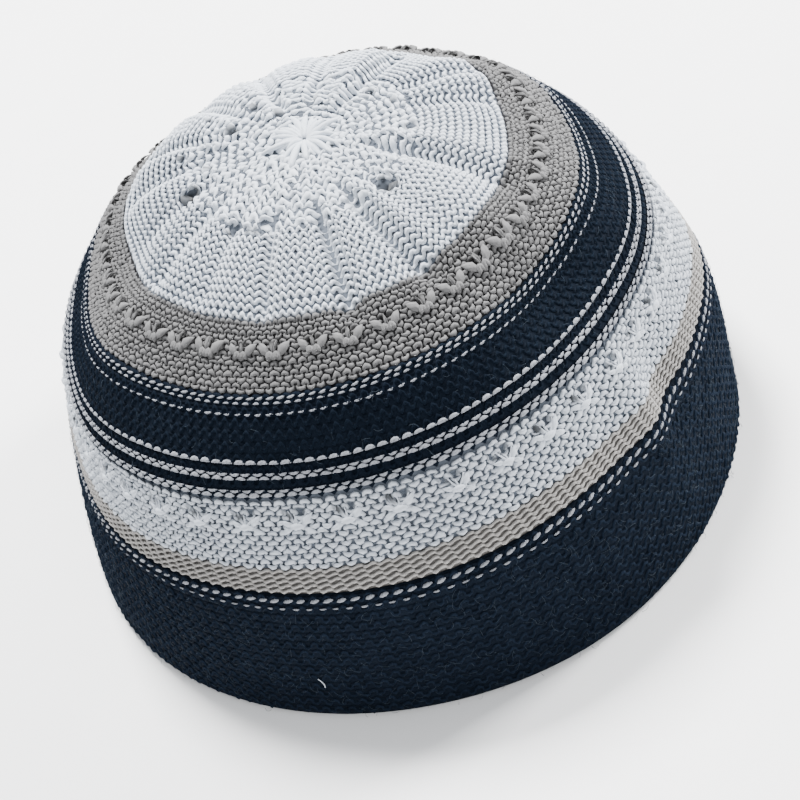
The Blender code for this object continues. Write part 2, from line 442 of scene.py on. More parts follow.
EYELETS = (
    # angle in degrees, station and radius in millimetres
    (303, 31.5, 1.65),
    (184.5, 31.5, 1.50),
    (345, 30.5, 1.05),
    (224, 31.0, 1.05),
    (234, 31.0, 0.85),
    (238, 33.0, 0.85),
    (240, 30.0, 0.70),
    (268, 32.0, 0.80),
    (260, 31.0, 0.65),
    (29, 24.5, 1.25),
    (39, 33.5, 0.90),
    (64, 29.5, 0.95),
    (95, 25.5, 1.00),
    (111, 24.0, 1.00),
    (105, 15.5, 1.15),
    (66, 18.5, 0.90),
    (138, 23.0, 1.50),
    (129, 34.5, 0.80),
    (156, 33.5, 0.80),
    (283, 20.5, 0.70),
    (253, 22.0, 0.75),
    (312, 27.0, 0.70),
    (320, 23.0, 0.70),
    (205, 24.0, 0.75),
    (172, 26.0, 0.75),
    (10, 28.0, 0.75),
)
EYELET_ROOM = 1.3
SMALL_GAPS = 44
SMALL_GAP_STATIONS = (0.014, 0.032)
SMALL_GAP_RADII = (0.0004, 0.0008)
HOLES_BY_KNOT = (
    # side in wales, millimetres up and radius in millimetres, for each taupe knot
    (-0.32, 1.4, 0.58),
    (-0.40, 2.4, 0.72),
    (0.32, 1.4, 0.58),
    (0.40, 2.4, 0.72),
)
SLITS_BY_KNOT = (
    # side in wales, millimetres up and radius in millimetres: a slanted slit and one round hole
    (-0.58, 1.7, 0.56),
    (-0.76, 2.4, 0.64),
    (-0.94, 3.1, 0.56),
    (0.26, 2.9, 0.86),
)


def between_courses(station):
    """The station between two yarns of the crown that is nearest to a given one."""
    spacing = CROWN_COURSE if station > LACE_EDGE else LACE_COURSE
    return LACE_EDGE + round((station - LACE_EDGE) / spacing) * spacing


def hole_rows():
    """Angle, station and radius of every small hole, in degrees and metres."""
    rows = [(angle, between_courses(station * MM), EYELET_ROOM * radius * MM)
            for angle, station, radius in EYELETS]
    draw = np.random.default_rng(17)
    for _ in range(SMALL_GAPS):
        station = between_courses(draw.uniform(*SMALL_GAP_STATIONS))
        rows.append((draw.uniform(0, 360), station, draw.uniform(*SMALL_GAP_RADII)))
    for knots, holes in ((TAUPE_KNOTS, HOLES_BY_KNOT), (WHITE_KNOTS, SLITS_BY_KNOT)):
        for number in range(BUTTERFLIES):
            for side, up, radius in holes:
                across = (number + BUTTERFLY_START) / BUTTERFLIES + side / WALES
                rows.append((float(angle_at(across)), knots - up * MM, radius * MM))
    return np.array(rows)


HOLES = hole_rows()


def eyelet_points():
    """A point in the middle of each eyelet, with its radius."""
    holder = new_object("eyelet_points", place(HOLES[:, 0], HOLES[:, 1]) - MIDDLE, [])
    radius = holder.data.attributes.new("radius", "FLOAT", "POINT")
    radius.data.foreach_set("value", HOLES[:, 2].astype(np.float32))
    return holder


EYELET_HOLDER = eyelet_points()
print("small holes:", len(HOLES))

# %% [markdown]
# ## Small helpers for node trees
# A tree of nodes can be clicked together by hand. One that is built in a script can be read, kept and
# changed like any other code. Each helper here makes a node or two, so a tree reads like a sum.

# %% Node helpers


def new_tree(name, inputs):
    """A geometry node tree with the named inputs, and the sockets that give them."""
    tree = bpy.data.node_groups.new(name, "GeometryNodeTree")
    for way in ("INPUT", "OUTPUT"):
        tree.interface.new_socket("Geometry", in_out=way, socket_type="NodeSocketGeometry")
    for label, kind, value in inputs:
        socket = tree.interface.new_socket(label, in_out="INPUT", socket_type=kind)
        if value is not None:
            socket.default_value = value
    return tree, tree.nodes.new("NodeGroupInput").outputs


def add(tree, kind, values=(), **settings):
    """A node with its settings, and its inputs given as values or as the sockets that feed them."""
    node = tree.nodes.new(kind)
    for name, value in settings.items():
        setattr(node, name, value)
    for key, value in dict(values).items():
        if isinstance(value, bpy.types.NodeSocket):
            tree.links.new(value, node.inputs[key])
        else:
            node.inputs[key].default_value = value
    return node


def give_out(tree, geometry):
    """Ends a tree with its geometry."""
    out = tree.nodes.new("NodeGroupOutput")
    tree.links.new(geometry, out.inputs[0])
    return tree


def stored(tree, name, kind="FLOAT_VECTOR"):
    """A value that was stored on the points under a name."""
    return add(tree, "GeometryNodeInputNamedAttribute", {"Name": name}, data_type=kind).outputs[0]


def own_position(tree):
    return add(tree, "GeometryNodeInputPosition").outputs[0]


def object_mesh(tree, which):
    return add(tree, "GeometryNodeObjectInfo", {"Object": which}).outputs["Geometry"]


def vector_math(tree, operation, first, second=(0.0, 0.0, 0.0)):
    """A vector from one or two others, or the length of one."""
    node = add(tree, "ShaderNodeVectorMath", {0: first, 1: second}, operation=operation)
    return node.outputs["Value" if operation == "LENGTH" else "Vector"]


def scaled(tree, vector, factor):
    """A vector times a number."""
    return add(tree, "ShaderNodeVectorMath", {0: vector, "Scale": factor}, operation="SCALE").outputs[0]


def number_math(tree, operation, first, second=0.0):
    return add(tree, "ShaderNodeMath", {0: first, 1: second}, operation=operation).outputs[0]


def kept_between(tree, value, low, high):
    return number_math(tree, "MINIMUM", number_math(tree, "MAXIMUM", value, low), high)


def noise(tree, where, scale, detail):
    """Smooth noise at a place, a number from 0 to 1."""
    return add(tree, "ShaderNodeTexNoise",
               {"Vector": where, "Scale": scale, "Detail": detail}).outputs["Fac"]


def bands(tree, where, scale, direction):
    """Even ridges across a flat pattern, a number from 0 to 1."""
    return add(tree, "ShaderNodeTexWave", {"Vector": where, "Scale": scale, "Distortion": 0.0},
               wave_type="BANDS", bands_direction=direction).outputs["Fac"]


def mixed_colours(tree, factor, first, second):
    return add(tree, "ShaderNodeMix", {"Factor": factor, "A": first, "B": second},
               data_type="RGBA").outputs["Result"]


print("node helpers are ready")

# %% [markdown]
# ## The wrap as a node group
# One node group does the wrapping, and both trees that follow use it. It could also be done point by point
# in Python, but nodes are quicker and can be looked at in Blender's own editor. The group also moves every
# point by a little smooth noise, because real yarn never lies quite straight. It pushes yarn out of the
# eyelets, and stores how deep each point lay in one, as painted shade for the yarn's colour.

# %% Wrap group
WRAP_INPUTS = (
    ("Cap", "NodeSocketObject", None),
    ("Eyelets", "NodeSocketObject", None),
    ("Wobble", "NodeSocketFloat", 0.0001),
    ("Wobble Size", "NodeSocketFloat", 0.002),
    ("Seed", "NodeSocketFloat", 1.0),
)
CHART_EDGE = 0.00005
PUSH_FADE = 0.5
SHADOW_GAIN = 2.4


def look_up(tree, sheet, value, where):
    """A value of the cap sheet at a place on the chart."""
    return add(tree, "GeometryNodeSampleUVSurface",
               {"Mesh": sheet, "Value": value, "Source UV Map": stored(tree, "chart"),
                "Sample UV": where}, data_type="FLOAT_VECTOR").outputs[0]


def look_up_point(tree, points, value, kind, number):
    """A value of one of the points, found by its number."""
    return add(tree, "GeometryNodeSampleIndex", {"Geometry": points, "Value": value, "Index": number},
               data_type=kind).outputs[0]


def pushed_from_eyelets(tree, point, eyelets):
    """The way a point has to move so that the nearest eyelet stays open, and how deep it lay in it."""
    nearest = add(tree, "GeometryNodeSampleNearest",
                  {"Geometry": eyelets, "Sample Position": point}).outputs[0]
    middle = look_up_point(tree, eyelets, own_position(tree), "FLOAT_VECTOR", nearest)
    radius = look_up_point(tree, eyelets, stored(tree, "radius", "FLOAT"), "FLOAT", nearest)
    away = vector_math(tree, "SUBTRACT", point, middle)
    distance = vector_math(tree, "LENGTH", away)
    faded = number_math(tree, "MULTIPLY", distance, PUSH_FADE)
    room = number_math(tree, "MAXIMUM", number_math(tree, "SUBTRACT", radius, faded), 0.0)
    share = number_math(tree, "DIVIDE", distance, radius)
    depth = number_math(tree, "MULTIPLY", number_math(tree, "SUBTRACT", 1.0, share), SHADOW_GAIN)
    push = scaled(tree, vector_math(tree, "NORMALIZE", away), room)
    return push, kept_between(tree, depth, 0.0, 1.0)


def wrap_group():
    """Takes chart points to the cap, with a wobble and room for the eyelets."""
    tree, given = new_tree("Wrap round the cap", WRAP_INPUTS)
    sheet = object_mesh(tree, given["Cap"])
    drawn = add(tree, "ShaderNodeSeparateXYZ", {0: own_position(tree)}).outputs
    across = number_math(tree, "FRACT", drawn[0])
    up = kept_between(tree, drawn[1], CHART_EDGE, 1 - CHART_EDGE)
    where = add(tree, "ShaderNodeCombineXYZ", {0: across, 1: up}).outputs[0]
    spot = look_up(tree, sheet, own_position(tree), where)
    facing = look_up(tree, sheet, stored(tree, "facing"), where)
    raised = vector_math(tree, "ADD", spot, scaled(tree, facing, drawn[2]))
    frequency = number_math(tree, "DIVIDE", 1.0, given["Wobble Size"])
    stirred = add(tree, "ShaderNodeTexNoise",
                  {"Vector": spot, "W": given["Seed"], "Scale": frequency, "Detail": 1.0},
                  noise_dimensions="4D").outputs["Color"]
    centred = vector_math(tree, "SUBTRACT", stirred, (0.5, 0.5, 0.5))
    wobbled = vector_math(tree, "ADD", raised, scaled(tree, centred, given["Wobble"]))
    push, shadow = pushed_from_eyelets(tree, raised, object_mesh(tree, given["Eyelets"]))
    marked = add(tree, "GeometryNodeStoreNamedAttribute",
                 {"Geometry": given["Geometry"], "Name": "shadow", "Value": shadow}, data_type="FLOAT")
    laid = add(tree, "GeometryNodeSetPosition",
               {"Geometry": marked.outputs[0], "Position": vector_math(tree, "ADD", wobbled, push)})
    return give_out(tree, laid.outputs[0])


WRAP = wrap_group()
print("wrap group:", len(WRAP.nodes), "nodes")

# %% [markdown]
# ## Two trees that use it
# The first tree only wraps a drawn mesh, such as a wall. The second one is the knitting machine: it
# sets one drawn stitch on every point of a chart, sized by the point's own cell, joins the ends of
# neighbours into long yarns, and wraps the lot. Instances are made real at the end, because a plain
# mesh is what other programs can read.

# %% Knitting and wrapping trees
WELD = 0.000002
COMMON_INPUTS = (*WRAP_INPUTS, ("Yarn", "NodeSocketMaterial", None))


def finish_tree(tree, given, geometry):
    """Wraps the geometry, closes its joints, smooths it and gives it its yarn."""
    wrap = add(tree, "GeometryNodeGroup", node_tree=WRAP)
    tree.links.new(geometry, wrap.inputs["Geometry"])
    for label, _, _ in WRAP_INPUTS:
        tree.links.new(given[label], wrap.inputs[label])
    welded = add(tree, "GeometryNodeMergeByDistance", {"Geometry": wrap.outputs[0], "Distance": WELD})
    smooth = add(tree, "GeometryNodeSetShadeSmooth", {"Geometry": welded.outputs[0]})
    dressed = add(tree, "GeometryNodeSetMaterial",
                  {"Geometry": smooth.outputs[0], "Material": given["Yarn"]})
    return give_out(tree, dressed.outputs[0])


def wrapping_tree():
    tree, given = new_tree("Lay a drawn mesh on the cap", COMMON_INPUTS)
    return finish_tree(tree, given, given["Geometry"])


def knitting_tree():
    inputs = (("Stitch", "NodeSocketObject", None), *COMMON_INPUTS)
    tree, given = new_tree("Knit a chart on the cap", inputs)
    placed = add(tree, "GeometryNodeInstanceOnPoints",
                 {"Points": given["Geometry"], "Instance": object_mesh(tree, given["Stitch"]),
                  "Scale": stored(tree, "cell")})
    real = add(tree, "GeometryNodeRealizeInstances", {"Geometry": placed.outputs[0]})
    return finish_tree(tree, given, real.outputs[0])


WRAPPING = wrapping_tree()
KNITTING = knitting_tree()
print("trees:", WRAPPING.name, "and", KNITTING.name)

# %% [markdown]
# ## From a tree to a finished piece
# Other programs don't know Blender's modifiers, so each result becomes a plain mesh. Then the piece rides
# on the cap's one body and takes the place of a node of the model.


def made_plain(piece):
    """Takes what the modifiers make as the piece's own mesh."""
    graph = bpy.context.evaluated_depsgraph_get()
    made = bpy.data.meshes.new_from_object(piece.evaluated_get(graph), preserve_all_data_layers=True,
                                           depsgraph=graph)
    piece.modifiers.clear()
    piece.data = made
    made.name = piece.name


def run_tree(piece, tree, yarn, wobble=0.0, size=1.0, seed=1.0, **more):
    """Runs a tree on a drawn object and leaves its result as a plain mesh."""
    modifier = piece.modifiers.new(tree.name, "NODES")
    modifier.node_group = tree
    identifiers = {item.name: item.identifier for item in tree.interface.items_tree
                   if item.item_type == "SOCKET" and item.in_out == "INPUT"}
    settings = {"Cap": CAP, "Eyelets": EYELET_HOLDER, "Wobble": wobble, "Wobble Size": size,
                "Seed": seed, "Yarn": yarn, **more}
    for label, value in settings.items():
        modifier[identifiers[label]] = value
    made_plain(piece)


def put_on(piece, node):
    """Makes a finished piece part of the cap in the place of a model node."""
    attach(piece, "root")
    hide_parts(node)
    print(piece.name, "has", sum(len(face.vertices) - 2 for face in piece.data.polygons), "triangles")
    return piece


# %% [markdown]
# ## The yarns
# All the yarns are a matt cotton blend of two twisted plies. A picture of yarn would repeat and smear,
# so each material is made of nodes. It twists fine ridges round the yarn with the stitch's own UV map,
# adds the soft fuzz as a small noise, and lets the colour drift a little from place to place. Yarn
# that lies deep in an eyelet is darker, because little light gets there. Sheen gives the light edge
# that loose fibres catch.

# %% Yarn materials
PAINTED_EYELET_SHADE = 0.12
DRIFT = 220.0
FUZZ = 4200.0
PLY_SCALE = 1.6
RIDGE_HEIGHT = 0.00012
FUZZ_HEIGHT = 0.00010
YARN_ROUGHNESS = 0.85
SHEEN_ROUGHNESS = 0.5


def yarn_material(name, colour, shade, twist, fuzz, sheen, gloss):
    """A twisted yarn: its colour drifts towards a darker shade, and ridges run round it."""
    material = bpy.data.materials.new(name)
    material.use_nodes = True
    tree = material.node_tree
    shader = tree.nodes["Principled BSDF"]
    shader.inputs["Roughness"].default_value = YARN_ROUGHNESS
    shader.inputs["Sheen Weight"].default_value = sheen
    shader.inputs["Sheen Roughness"].default_value = SHEEN_ROUGHNESS
    shader.inputs["Specular IOR Level"].default_value = gloss
    spot = add(tree, "ShaderNodeTexCoord").outputs["Object"]
    drifted = mixed_colours(tree, noise(tree, spot, DRIFT, 3.0), (*shade, 1.0), (*colour, 1.0))
    # painted shade: yarn deep in an eyelet is mixed towards a dark colour
    shadow = add(tree, "ShaderNodeAttribute", attribute_name="shadow").outputs["Fac"]
    shaded = mixed_colours(tree, shadow, drifted, (*(PAINTED_EYELET_SHADE * np.array(shade)), 1.0))
    tree.links.new(shaded, shader.inputs["Base Color"])
    along = add(tree, "ShaderNodeUVMap", uv_map="yarn").outputs[0]
    twisted = add(tree, "ShaderNodeBump", {"Height": bands(tree, along, PLY_SCALE, "DIAGONAL"),
                                           "Strength": twist, "Distance": RIDGE_HEIGHT}).outputs[0]
    fuzzed = add(tree, "ShaderNodeBump", {"Height": noise(tree, spot, FUZZ, 2.0), "Strength": fuzz,
                                          "Distance": FUZZ_HEIGHT, "Normal": twisted}).outputs[0]
    tree.links.new(fuzzed, shader.inputs["Normal"])
    return material


YARNS = (
    # name, colour, shade, twist, fuzz, sheen, gloss
    ("white_yarn", (0.59, 0.63, 0.68), (0.49, 0.53, 0.59), 0.5, 0.35, 0.08, 0.25),
    ("white_band_yarn", (0.50, 0.535, 0.585), (0.40, 0.435, 0.485), 0.5, 0.35, 0.06, 0.25),
    ("taupe_yarn", (0.150, 0.148, 0.149), (0.097, 0.096, 0.097), 0.6, 0.45, 0.05, 0.25),
    ("stripe_yarn", (0.33, 0.315, 0.30), (0.24, 0.23, 0.22), 0.6, 0.40, 0.05, 0.25),
    ("dash_yarn", (0.265, 0.277, 0.305), (0.170, 0.180, 0.203), 0.8, 0.50, 0.03, 0.25),
    ("navy_yarn", (0.0052, 0.0090, 0.0160), (0.0024, 0.0043, 0.0082), 0.6, 0.8, 0.0, 0.03),
    ("cuff_yarn", (0.0100, 0.0158, 0.0275), (0.0034, 0.0060, 0.0114), 0.6, 1.0, 0.0, 0.03),
    ("stray_fibre", (0.040, 0.056, 0.075), (0.012, 0.020, 0.030), 0.1, 0.1, 0.0, 0.25),
)
WHITE, WHITE_BAND, TAUPE, STRIPE, DASH, NAVY, CUFF, FIBRE = (yarn_material(*row) for row in YARNS)
print("yarns:", [row[0] for row in YARNS])

# %% [markdown]
# ## Drawing yarn
# A yarn is a tube along a path. A curve with a bevel would make one too, but a tube drawn here can be
# wide and flat, taper at will and have a corner on top, where a thin one catches light on both sides.
# Each drawn tube carries a UV map that runs along the yarn and round it.

# %% Tubes
TUBE_SIDES = 4


def tube(path, radii, sides, capped):
    """Points, faces and UV of a tube with a corner on top; the path's end points only give direction."""
    path = np.asarray(path, float)
    ahead = path[2:] - path[:-2]
    ahead /= np.linalg.norm(ahead, axis=1, keepdims=True)
    path = path[1:-1]
    radii = np.broadcast_to(np.asarray(radii, float), (len(path), 2))
    across = np.cross((0, 0, 1), ahead)
    across /= np.linalg.norm(across, axis=1, keepdims=True)
    over = np.cross(ahead, across)
    turn = np.pi / 2 + 2 * np.pi * np.arange(sides) / sides
    rings = (path[:, None] + across[:, None] * radii[:, :1, None] * np.cos(turn)[None, :, None]
             + over[:, None] * radii[:, 1:, None] * np.sin(turn)[None, :, None])
    faces, uv = [], []
    last = len(path) - 1
    for ring in range(last):
        for side in range(sides):
            beside = (side + 1) % sides
            faces.append((ring * sides + side, ring * sides + beside,
                          (ring + 1) * sides + beside, (ring + 1) * sides + side))
            left, right = ring / last, (ring + 1) / last
            low, high = side / sides, (side + 1) / sides
            uv += [(left, low), (left, high), (right, high), (right, low)]
    if capped:
        faces.append(tuple(range(sides))[::-1])
        faces.append(tuple(last * sides + side for side in range(sides)))
        uv += [(0, 0)] * sides + [(1, 0)] * sides
    return rings.reshape(-1, 3), faces, uv


def joined(parts):
    """Several drawn tubes as one."""
    points, faces, uv, start = [], [], [], 0
    for part_points, part_faces, part_uv in parts:
        points.append(part_points)
        faces += [tuple(start + corner for corner in face) for face in part_faces]
        uv += part_uv
        start += len(part_points)
    return np.concatenate(points), faces, uv


def drawn_object(name, points, faces, uv):
    """An object made of drawn yarn, with the yarn's own UV map."""
    made = new_object(name, points, faces)
    layer = made.data.uv_layers.new(name="yarn")
    layer.data.foreach_set("uv", np.array(uv, np.float32).ravel())
    return made


def lay(name, drawn, yarn, node, **wrap):
    """A piece of drawn yarn, laid on the cap by the wrapping tree."""
    piece = drawn_object(name, *drawn)
    run_tree(piece, WRAPPING, yarn, **wrap)
    return put_on(piece, node)


print("tubes have", TUBE_SIDES, "sides, unless a piece asks for more")

# %% [markdown]
# ## Drawing stitches
# The path of one purl stitch is one wave: it rises to a round head, falls into a narrow sinker and
# meets its neighbour there. It is drawn at its real size and then divided by the size of its cell, so
# that the machine can fit it to any cell. One drawn loop is enough for a whole band, because the wrap
# bends and stirs every copy in its own way.

# %% Stitches
DASH_END = 0.94
DASH_FLATNESS = 2.4


def drawn_stitch(name, parts, cell):
    """A stitch object, its points divided by the width and height of its cell."""
    points, faces, uv = joined(parts)
    return drawn_object(name, points / (*cell, 1.0), faces, uv)


def purl_stitch(name, wale, course, yarn, rise, bulge, bead, leg_dip=0.0, sinker_dip=0.0, lean=0.0,
                arch=0.0, samples=8, sides=TUBE_SIDES):
    """One loop of purl: its head arches in the middle of the cell, its sinkers hang at both ends.

    A bulge makes the head wider than its neck, an arch makes it rounder, and a lean tips it. The dips
    sink the legs or the sinkers below the rest, and the bead makes the rest thicker than the legs.
    """
    t = np.linspace(-0.5 - 1 / samples, 0.5 + 1 / samples, samples + 3)
    head = np.cos(2 * np.pi * t)
    leg = (1 - np.cos(4 * np.pi * t)) / 2
    across = t + bulge * np.sin(4 * np.pi * t) + lean * head
    over = -yarn / 2 - leg_dip * leg - sinker_dip * (1 - head) / 2
    wave = (1 - arch) * head + arch * np.cos(6 * np.pi * t)
    path = np.stack([across * wale, rise * wave * course, over], axis=1)
    wide = yarn / 2 * (1 + bead * (1 - 2 * leg) * np.where(sinker_dip > 0, 0.5 + 0.5 * head, 1.0))[1:-1]
    radii = np.stack([wide, np.full_like(wide, yarn / 2)], axis=1)
    return drawn_stitch(name, [tube(path, radii, sides, capped=False)], (wale, course))


def dash_stitch(name, wale, course, width, tall, bend, slant, lift, samples=5):
    """A short thick dash of light yarn between two dark stitches."""
    t = np.concatenate([[-1.2], np.linspace(-1, 1, samples), [1.2]])
    path = np.stack([t * width / 2, bend * (1 - t**2) + slant * t, lift + 0 * t], axis=1)
    taper = np.sqrt(np.maximum(1 - (DASH_END * t[1:-1])**2, 0))
    radii = np.stack([tall / 2 * taper, tall / DASH_FLATNESS * taper], axis=1)
    return drawn_stitch(name, [tube(path, radii, TUBE_SIDES, capped=True)], (wale, course))


print("a wale at the rim in mm:", round(perimeter(RIM) / WALES * 1000, 2))

# %% [markdown]
# ## Charts and knitting
# A chart is a cloud of points, one for each stitch, that carries each stitch's cell. Copies could be
# placed one by one with a loop, but tens of thousands of objects would choke any scene. The knitting
# tree takes the chart and one drawn stitch, and gives back one mesh.

# %% Charts


def chart_points(name, rows):
    """Points of a chart: share round, share up, width share, height share and lift of each stitch."""
    rows = np.array(rows, float)
    holder = new_object(name, np.stack([rows[:, 0], rows[:, 1], 0 * rows[:, 0]], axis=1), [])
    cell = holder.data.attributes.new("cell", "FLOAT_VECTOR", "POINT")
    cell.data.foreach_set("vector", rows[:, 2:5].astype(np.float32).ravel())
    return holder


def even_rows(top, foot, spacing, lean=0.0):
    """Courses of all the wales between two stations, evenly spaced."""
    count = max(1, round((foot - top) / spacing))
    step = (foot - top) / count
    rows = []
    for course in range(count):
        station = top + (course + 0.5) * step
        for wale in range(WALES):
            rows.append(((wale + lean * course) / WALES, 1 - station / RIM, 1 / WALES, step / RIM, 1.0))
    return rows


def knit(name, rows, stitch, yarn, node, **wrap):
    """A piece of knitting: one stitch on every point of a chart."""
    piece = chart_points(name, rows)
    run_tree(piece, KNITTING, yarn, Stitch=stitch, **wrap)
    bpy.data.objects.remove(stitch)
    return put_on(piece, node)


print("stitches in one course:", WALES)

# %% [markdown]
# ## The walls behind the stitches
# Behind the raised loops lies the rest of the fabric. Knitting it too would double the mesh for yarn that
# hardly shows, so it is a plain wall with rows of small ridges as a bump. Where it shows in the gaps
# between the loops, its colour is painted dark as the loops' shade, and inside the cap it has the colour
# of the yarn. So each wall has two materials.

# %% Wall materials
KNIT_BUMP = 0.0006
ONE_WAVE_EACH = 0.314
WALL_COLOURS = {
    # yarn: colour and shade in the gaps, both painted dark as the loops' shade, then colour and shade on
    # the back
    "crown": ((0.115, 0.131, 0.157), (0.075, 0.086, 0.106), (0.50, 0.53, 0.57), (0.42, 0.45, 0.50)),
    "white": ((0.125, 0.142, 0.170), (0.080, 0.093, 0.115), (0.50, 0.53, 0.57), (0.42, 0.45, 0.50)),
    "taupe": ((0.030, 0.029, 0.031), (0.016, 0.016, 0.018),
              (0.22, 0.21, 0.205), (0.16, 0.152, 0.147)),
    "stripe": ((0.15, 0.142, 0.136), (0.10, 0.095, 0.09), (0.30, 0.28, 0.265), (0.22, 0.205, 0.195)),
    "navy": ((0.0046, 0.0078, 0.0142), (0.0020, 0.0038, 0.0076),
             (0.0055, 0.0090, 0.0175), (0.0035, 0.0055, 0.0105)),
}


def wall_material(name, colour, shade):
    """The back of the knit: rows of small ridges on the fabric's own UV map."""
    material = yarn_material(name, colour, shade, twist=0.0, fuzz=0.6, sheen=0.0, gloss=0.05)
    tree = material.node_tree
    shader = tree.nodes["Principled BSDF"]
    fabric = add(tree, "ShaderNodeUVMap", uv_map="fabric").outputs[0]
    courses, wales = (bands(tree, fabric, ONE_WAVE_EACH, way) for way in "YX")
    both = number_math(tree, "MULTIPLY", courses, wales)
    ridged = add(tree, "ShaderNodeBump", {"Height": both, "Strength": 0.8, "Distance": KNIT_BUMP})
    tree.links.new(shader.inputs["Normal"].links[0].from_socket, ridged.inputs["Normal"])
    tree.links.new(ridged.outputs[0], shader.inputs["Normal"])
    return material


# the gap materials paint the loops' shade on the wall's outer face, the back materials give the yarn's own
# colour inside
WALL_MATERIALS = {yarn: (wall_material(yarn + "_gap", *row[:2]), wall_material(yarn + "_back", *row[2:]))
                  for yarn, row in WALL_COLOURS.items()}
print("wall materials:", 2 * len(WALL_MATERIALS))

# %% [markdown]
# ## The walls
# Each band's wall is a sheet a little under the outer face, given its thickness inwards by Solidify,
# which also closes its edges. The cuff's sheet goes down, turns under at the rim and comes up again as
# the hem. Drawing both faces by hand would need the same path twice, and the two could cross.

# %% Walls
WALL_COLUMNS = 264
RIDGE = 0.00125
STITCH_DEPTH = 0.0010
BRUSHED_DEPTH = 0.0005
BAND_ROW = 0.0015
CROWN_ROW = 0.0011
CUFF_ROW = 0.002
TURN_SLACK = 0.0002


def wall(name, path, thickness, yarn, node):
    """A wall along a path of stations and depths, all the way round the cap."""
    path = np.array(path)
    rows = len(path)
    across = np.tile(np.arange(WALL_COLUMNS) / WALL_COLUMNS, rows)
    up = np.repeat(1 - path[:, 0] / RIM, WALL_COLUMNS)
    points = np.stack([across, up, np.repeat(-path[:, 1], WALL_COLUMNS)], axis=1)
    faces = [face[::-1] for face in grid_faces(WALL_COLUMNS, rows, closed=True)]
    piece = new_object(name, points, faces)
    along = np.concatenate([[0], np.cumsum(np.linalg.norm(np.diff(path, axis=0), axis=1))])
    fabric = np.stack([across * WALES, np.repeat(along, WALL_COLUMNS) / RIDGE], axis=1)
    for layer in ("fabric", "yarn"):
        set_uv(piece.data, layer, fabric)
    # the outer face gets the painted shade of the gaps, the inner face the yarn's own colour
    painted_gap_shade, back = WALL_MATERIALS[yarn]
    run_tree(piece, WRAPPING, painted_gap_shade)
    piece.data.materials.append(back)
    solid = piece.modifiers.new("thickness", "SOLIDIFY")
    solid.thickness = thickness
    solid.material_offset = 1
    solid.offset = -1.0
    made_plain(piece)
    return put_on(piece, node)


def at_depth(depth, top, foot, spacing):
    """A path from one station down to another, at one depth."""
    count = max(2, round((foot - top) / spacing) + 1)
    return [(station, depth) for station in np.linspace(top, foot, count)]


def cuff_path():
    """The cuff's outer ply, its turn at the rim and the hem."""
    hem_face = CUFF_PLY + HEM_SLOT + CUFF_PLY
    outside = at_depth(BRUSHED_DEPTH, STATION["cuff_top"], RIM - RIM_ROUND, CUFF_ROW)
    turn = [(RIM, RIM_ROUND + TURN_SLACK), (RIM, hem_face - RIM_ROUND)]
    hem = at_depth(hem_face, RIM - HEM_HEIGHT, RIM - RIM_ROUND, CUFF_ROW)
    return outside + turn + hem[::-1]


for yarn, top, foot, depth, node in (
        ("taupe", "crown_edge", "taupe_foot", STITCH_DEPTH, "taupe_band"),
        ("navy", "taupe_foot", "dash_low", BRUSHED_DEPTH, "navy_band"),
        ("white", "dash_low", "stripe_top", STITCH_DEPTH, "white_band"),
        ("stripe", "stripe_top", "cuff_top", STITCH_DEPTH, "taupe_stripe")):
    band_path = at_depth(depth, STATION[top], STATION[foot], BAND_ROW)
    wall(yarn + "_wall", band_path, KNIT_WALL - depth, yarn, node)
crown_path = at_depth(STITCH_DEPTH, 0.0, CROWN_RADIUS, CROWN_ROW)
wall("crown_wall", crown_path, KNIT_WALL - STITCH_DEPTH, "crown", "crown")
wall("cuff_wall", cuff_path(), CUFF_PLY - BRUSHED_DEPTH, "navy", "cuff")

# %% [markdown]
# ## The crown
# The crown is knitted purl side out in gores that lose stitches as they near the gather. One round
# grid of stitches would shrink to needles at the middle, so each gore between two folds is its own
# small chart: fewer wales in every course, always about as wide. Towards the middle the stitches are
# taken together in twos, which makes them bigger and lumpier.

# %% Crown
CROWN_WALE = 0.00205
LACE_WALE = 0.00280
GATHER_EDGE = 0.0062


def gored_course(station, spacing, wale_size):
    """One course of the crown, with a whole number of stitches in each gore."""
    borders = sorted(float(share_at(fold_line(fold, station))) for fold in FOLDS)
    borders.append(borders[0] + 1)
    rows = []
    for left, right in zip(borders, borders[1:]):
        count = max(1, round((right - left) * perimeter(station) / wale_size))
        for stitch in range(count):
            across = left + (stitch + 0.5) * (right - left) / count
            rows.append((across % 1.0, 1 - station / RIM, (right - left) / count, spacing / RIM, 1.0))
    return rows


def gored_rows(outer, inner, spacing, wale_size):
    """All the courses of the crown between two stations, from the outer one inwards."""
    rows = []
    for station in np.arange(outer - spacing / 2, inner, -spacing):
        rows += gored_course(station, spacing, wale_size)
    return rows


crown_rows = gored_rows(CROWN_RADIUS, LACE_EDGE, CROWN_COURSE, CROWN_WALE)
crown_stitch = purl_stitch("crown_stitch", CROWN_WALE, CROWN_COURSE, yarn=0.00096, rise=0.20,
                           bulge=0.045, sinker_dip=0.00045, bead=0.50)
knit("crown_courses", crown_rows, crown_stitch, WHITE, "crown", wobble=0.0006, size=0.0026, seed=2.0)

lace_rows = gored_rows(LACE_EDGE, GATHER_EDGE, LACE_COURSE, LACE_WALE)
lace_stitch = purl_stitch("lace_stitch", LACE_WALE, LACE_COURSE, yarn=0.00134, rise=0.22,
                          bulge=0.05, sinker_dip=0.00065, bead=0.52, sides=5)
knit("crown_lace", lace_rows, lace_stitch, WHITE, "crown", wobble=0.0029, size=0.0034, seed=5.0)

# %% [markdown]
# ## The gather
# The last loops of the crown are threaded on one yarn and drawn shut. What shows is a small star of
# soft strands that run into one point. A chart of equal stitches can't show that, so each strand is
# drawn as a tube of its own length, fat in its middle, and all of them are laid on the cap together.

